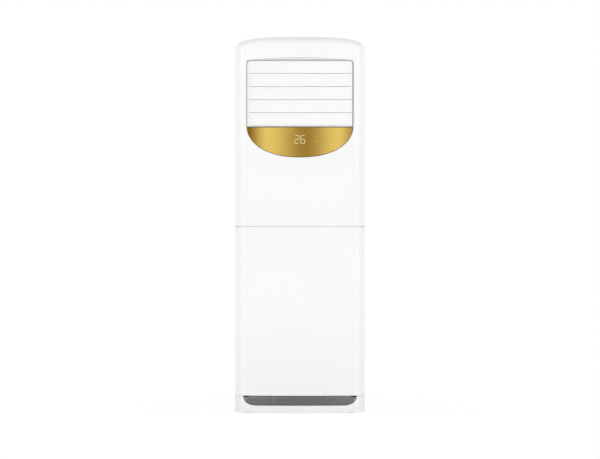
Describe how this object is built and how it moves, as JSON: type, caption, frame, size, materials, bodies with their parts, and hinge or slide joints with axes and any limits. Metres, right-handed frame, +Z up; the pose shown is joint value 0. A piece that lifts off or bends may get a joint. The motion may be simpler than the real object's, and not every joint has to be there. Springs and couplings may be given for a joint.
{
  "type": "floor standing air conditioner",
  "caption": "Tall white cabinet air conditioner with a louvred outlet, gold half-round display panel, slotted plinth, side intakes, leaning coil and centrifugal blower.",
  "frame": {"origin": "on the floor, in the middle of the unit's width and depth", "axes": "+Z up, -Y towards the front with the louvres, +X to the right as seen from the front"},
  "size_m": [0.6, 0.365, 1.74],
  "materials": {
    "white_shell": "semi-gloss white",
    "white_steel": "white powder coat",
    "white_plastic": "satin white",
    "dark_plastic": "fine satin grain",
    "black_plastic": "satin",
    "gold_panel": "mirror gold metallising",
    "circuit_board": "solder mask",
    "galvanised_steel": "galvanised",
    "bright_steel": "ground",
    "aluminium_fin": "mill finish",
    "copper_tube": "drawn copper",
    "grey_moulding": "moulded",
    "rubber": "matte"
  },
  "bodies": {
    "cabinet": {"back_panel": "galvanised_steel", "base_pan": "galvanised_steel", "base_plinth": "white_shell", "coil_baffle": "galvanised_steel", "coil_fins": "aluminium_fin", "coil_plate_left": "galvanised_steel", "coil_plate_right": "galvanised_steel", "display_board": "circuit_board", "display_lead": "black_plastic", "display_panel": "gold_panel", "drain_hose": "grey_moulding", "drain_pan": "grey_moulding", "electrical_box": "galvanised_steel", "electrical_lid": "galvanised_steel", "fan_motor": "galvanised_steel", "foot_front_left": "rubber", "foot_front_right": "rubber", "foot_rear_left": "rubber", "foot_rear_right": "rubber", "gas_pipe": "copper_tube", "left_intake_grille": "white_plastic", "left_side_panel": "white_steel", "link_cover": "white_plastic", "liquid_pipe": "copper_tube", "louvre_motor": "galvanised_steel", "mid_deck": "galvanised_steel", "motor_bracket": "galvanised_steel", "motor_lead": "black_plastic", "outlet_duct": "dark_plastic", "pipe_grommet": "rubber", "plinth_grille": "dark_plastic", "right_intake_grille": "white_plastic", "right_side_panel": "white_steel", "scroll_cover": "galvanised_steel", "scroll_housing": "galvanised_steel", "terminal_block": "black_plastic", "top_cover": "white_shell", "upper_front_panel": "white_shell", "vane_motor": "galvanised_steel", "wall_bracket": "galvanised_steel"},
    "louvre_1": {"louvre_blade_1": "white_plastic"},
    "louvre_2": {"louvre_blade_2": "white_plastic"},
    "louvre_3": {"louvre_blade_3": "white_plastic"},
    "louvre_4": {"louvre_blade_4": "white_plastic"},
    "louvre_5": {"louvre_blade_5": "white_plastic"},
    "louvre_drive": {"louvre_crank": "black_plastic"},
    "louvre_bar": {"louvre_link": "black_plastic"},
    "upright_vane_1": {"vane_1": "white_plastic"},
    "upright_vane_2": {"vane_2": "white_plastic"},
    "upright_vane_3": {"vane_3": "white_plastic"},
    "upright_vane_4": {"vane_4": "white_plastic"},
    "upright_vane_5": {"vane_5": "white_plastic"},
    "upright_vane_6": {"vane_6": "white_plastic"},
    "upright_vane_7": {"vane_7": "white_plastic"},
    "vane_bar": {"vane_link": "black_plastic"},
    "blower": {"blower_wheel": "black_plastic", "motor_shaft": "bright_steel"},
    "service_panel": {"lower_front_panel": "white_shell"},
    "left_filter": {"left_air_filter": "dark_plastic"},
    "right_filter": {"right_air_filter": "dark_plastic"}
  },
  "joints": [
    {"name": "louvre_1_swing", "type": "hinge", "parent": "cabinet", "child": "louvre_1", "pos_m": [0, -0.1605, 1.35643], "axis": [-1, 0, 0], "range_deg": [0, 70]},
    {"name": "louvre_2_swing", "type": "hinge", "parent": "cabinet", "child": "louvre_2", "pos_m": [0, -0.1605, 1.41669], "axis": [-1, 0, 0], "range_deg": [0, 70]},
    {"name": "louvre_3_swing", "type": "hinge", "parent": "cabinet", "child": "louvre_3", "pos_m": [0, -0.1605, 1.47695], "axis": [-1, 0, 0], "range_deg": [0, 70]},
    {"name": "louvre_4_swing", "type": "hinge", "parent": "cabinet", "child": "louvre_4", "pos_m": [0, -0.1605, 1.53721], "axis": [-1, 0, 0], "range_deg": [0, 70]},
    {"name": "louvre_5_swing", "type": "hinge", "parent": "cabinet", "child": "louvre_5", "pos_m": [0, -0.1605, 1.59747], "axis": [-1, 0, 0], "range_deg": [0, 70]},
    {"name": "louvre_drive_turn", "type": "hinge", "parent": "cabinet", "child": "louvre_drive", "pos_m": [-0.2403, -0.1245, 1.47695], "axis": [-1, 0, 0], "range_deg": [0, 70]},
    {"name": "louvre_bar_pivot", "type": "hinge", "parent": "louvre_3", "child": "louvre_bar", "pos_m": [-0.2377, -0.1425, 1.47695], "axis": [-1, 0, 0], "range_deg": [-70, 0]},
    {"name": "vane_1_swing", "type": "hinge", "parent": "cabinet", "child": "upright_vane_1", "pos_m": [-0.198, -0.098, 1.48], "axis": [0, 0, 1], "range_deg": [-35, 35]},
    {"name": "vane_2_swing", "type": "hinge", "parent": "cabinet", "child": "upright_vane_2", "pos_m": [-0.132, -0.098, 1.48], "axis": [0, 0, 1], "range_deg": [-35, 35]},
    {"name": "vane_3_swing", "type": "hinge", "parent": "cabinet", "child": "upright_vane_3", "pos_m": [-0.066, -0.098, 1.48], "axis": [0, 0, 1], "range_deg": [-35, 35]},
    {"name": "vane_4_swing", "type": "hinge", "parent": "cabinet", "child": "upright_vane_4", "pos_m": [0, -0.098, 1.48], "axis": [0, 0, 1], "range_deg": [-35, 35]},
    {"name": "vane_5_swing", "type": "hinge", "parent": "cabinet", "child": "upright_vane_5", "pos_m": [0.066, -0.098, 1.48], "axis": [0, 0, 1], "range_deg": [-35, 35]},
    {"name": "vane_6_swing", "type": "hinge", "parent": "cabinet", "child": "upright_vane_6", "pos_m": [0.132, -0.098, 1.48], "axis": [0, 0, 1], "range_deg": [-35, 35]},
    {"name": "vane_7_swing", "type": "hinge", "parent": "cabinet", "child": "upright_vane_7", "pos_m": [0.198, -0.098, 1.48], "axis": [0, 0, 1], "range_deg": [-35, 35]},
    {"name": "vane_bar_pivot", "type": "hinge", "parent": "upright_vane_4", "child": "vane_bar", "pos_m": [0, -0.08, 1.3376], "axis": [0, 0, 1], "range_deg": [-35, 35]},
    {"name": "blower_spin", "type": "hinge", "parent": "cabinet", "child": "blower", "pos_m": [-0.01, 0.05, 0.43], "axis": [0, 1, 0], "continuous": true},
    {"name": "service_panel_tip", "type": "hinge", "parent": "cabinet", "child": "service_panel", "pos_m": [0, -0.166, 0.092], "axis": [1, 0, 0], "range_deg": [0, 25]},
    {"name": "left_filter_slide", "type": "slide", "parent": "cabinet", "child": "left_filter", "axis": [0, 1, 0], "range_m": [0, 0.2]},
    {"name": "right_filter_slide", "type": "slide", "parent": "cabinet", "child": "right_filter", "axis": [0, 1, 0], "range_m": [0, 0.2]}
  ],
  "couplings": [
    {"joint": "louvre_1_swing", "follows": "louvre_3_swing", "ratio": 1},
    {"joint": "louvre_2_swing", "follows": "louvre_3_swing", "ratio": 1},
    {"joint": "louvre_4_swing", "follows": "louvre_3_swing", "ratio": 1},
    {"joint": "louvre_5_swing", "follows": "louvre_3_swing", "ratio": 1},
    {"joint": "louvre_drive_turn", "follows": "louvre_3_swing", "ratio": 1},
    {"joint": "louvre_bar_pivot", "follows": "louvre_3_swing", "ratio": -1},
    {"joint": "vane_1_swing", "follows": "vane_4_swing", "ratio": 1},
    {"joint": "vane_2_swing", "follows": "vane_4_swing", "ratio": 1},
    {"joint": "vane_3_swing", "follows": "vane_4_swing", "ratio": 1},
    {"joint": "vane_5_swing", "follows": "vane_4_swing", "ratio": 1},
    {"joint": "vane_6_swing", "follows": "vane_4_swing", "ratio": 1},
    {"joint": "vane_7_swing", "follows": "vane_4_swing", "ratio": 1},
    {"joint": "vane_bar_pivot", "follows": "vane_4_swing", "ratio": -1}
  ]
}
